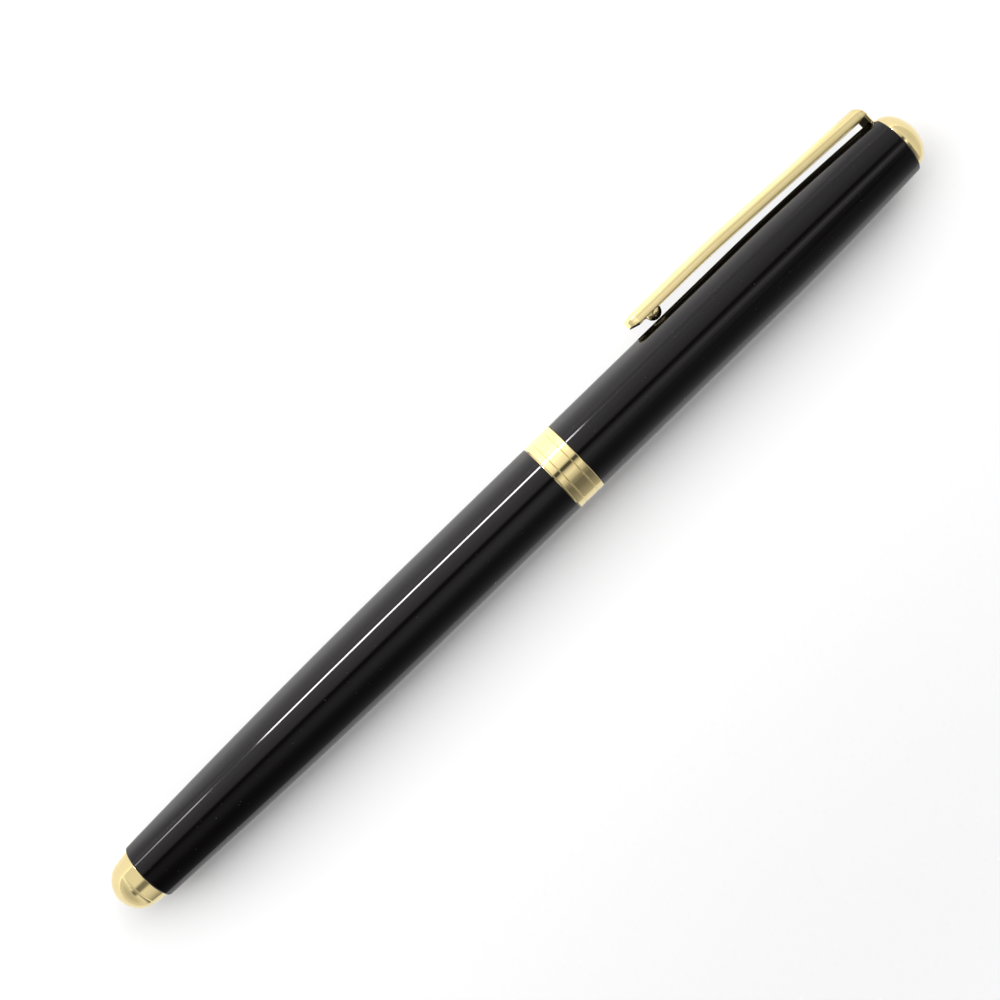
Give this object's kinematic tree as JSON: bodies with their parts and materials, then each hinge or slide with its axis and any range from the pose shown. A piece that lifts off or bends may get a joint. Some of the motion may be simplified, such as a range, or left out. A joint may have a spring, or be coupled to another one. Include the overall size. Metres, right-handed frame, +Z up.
{
  "type": "rollerball pen",
  "caption": "Capped rollerball pen: black lacquered barrel and push-on cap, gilt rounded ends, grooved mouth band, sprung pocket clip and a screw-in ink refill",
  "frame": {"origin": "bottom centre of the whole pen's box, on the table the pen lies on", "axes": "+X runs along the pen's axis from the barrel's end to the cap's top (the writing tip points to +X), +Z is up, and the clip is on the +Y side, 28.85 degrees below the horizontal"},
  "size_m": [0.138, 0.0126, 0.0103],
  "materials": {
    "black_lacquer": "high gloss black lacquer",
    "gilt": "polished pale gold plate",
    "raw_brass": "machined",
    "steel": "satin",
    "carbide": "polished",
    "black_plastic": "moulded",
    "natural_plastic": "moulded",
    "ink_fibre": "ink-soaked bonded fibre"
  },
  "bodies": {
    "section": {"thread_sleeve": "raw_brass", "section_ring": "gilt", "grip_section": "black_lacquer", "nose_cone": "gilt"},
    "refill": {"refill_tube": "steel", "refill_plug": "black_plastic", "ink_reservoir": "ink_fibre", "feed_holder": "black_plastic", "ink_wick": "ink_fibre", "writing_tip": "steel"},
    "writing_ball": {"rolling_ball": "carbide"},
    "spring": {"refill_spring": "steel"},
    "cup": {"spring_cup": "natural_plastic"},
    "barrel": {"barrel_tube": "black_lacquer", "barrel_bush": "raw_brass", "barrel_finial": "gilt", "tail_insert": "raw_brass"},
    "snap_ring": {"snap_ring": "steel"},
    "cap": {"cap_tube": "black_lacquer", "cap_band": "gilt", "cap_clutch": "raw_brass", "inner_cap": "black_plastic", "cap_finial": "gilt", "cap_screw": "steel"},
    "clip": {"clip": "gilt", "clip_ball": "gilt"}
  },
  "joints": [
    {"name": "refill_draw", "type": "slide", "parent": "section", "child": "refill", "axis": [-1, 0, 0], "range_m": [0, 0.06]},
    {"name": "ball_roll", "type": "hinge", "parent": "refill", "child": "writing_ball", "pos_m": [0.05562, -0.00115, 0.00513], "axis": [0, 1, 0], "continuous": true},
    {"name": "barrel_draw", "type": "slide", "parent": "refill", "child": "spring", "axis": [-1, 0, 0], "range_m": [0, 0.063]},
    {"name": "thread_travel", "type": "slide", "parent": "spring", "child": "cup", "axis": [-1, 0, 0], "range_m": [0, 0.00451], "deforming": ["refill_spring"]},
    {"name": "barrel_unscrew", "type": "hinge", "parent": "cup", "child": "barrel", "pos_m": [0.00135, -0.00115, 0.00513], "axis": [-1, 0, 0], "range_deg": [0, 2160]},
    {"name": "cap_turn", "type": "hinge", "parent": "section", "child": "snap_ring", "pos_m": [0.012, -0.00115, 0.00513], "axis": [1, 0, 0], "continuous": true},
    {"name": "cap_pull", "type": "slide", "parent": "snap_ring", "child": "cap", "axis": [1, 0, 0], "range_m": [0, 0.052]},
    {"name": "clip_flex", "type": "hinge", "parent": "cap", "child": "clip", "pos_m": [0.0654, 0.00244, 0.00315], "axis": [0, -0.4825, -0.8759], "range_deg": [0, 3]}
  ],
  "couplings": [
    {"joint": "thread_travel", "follows": "barrel_unscrew", "m_per_rad": 0.00011937}
  ]
}
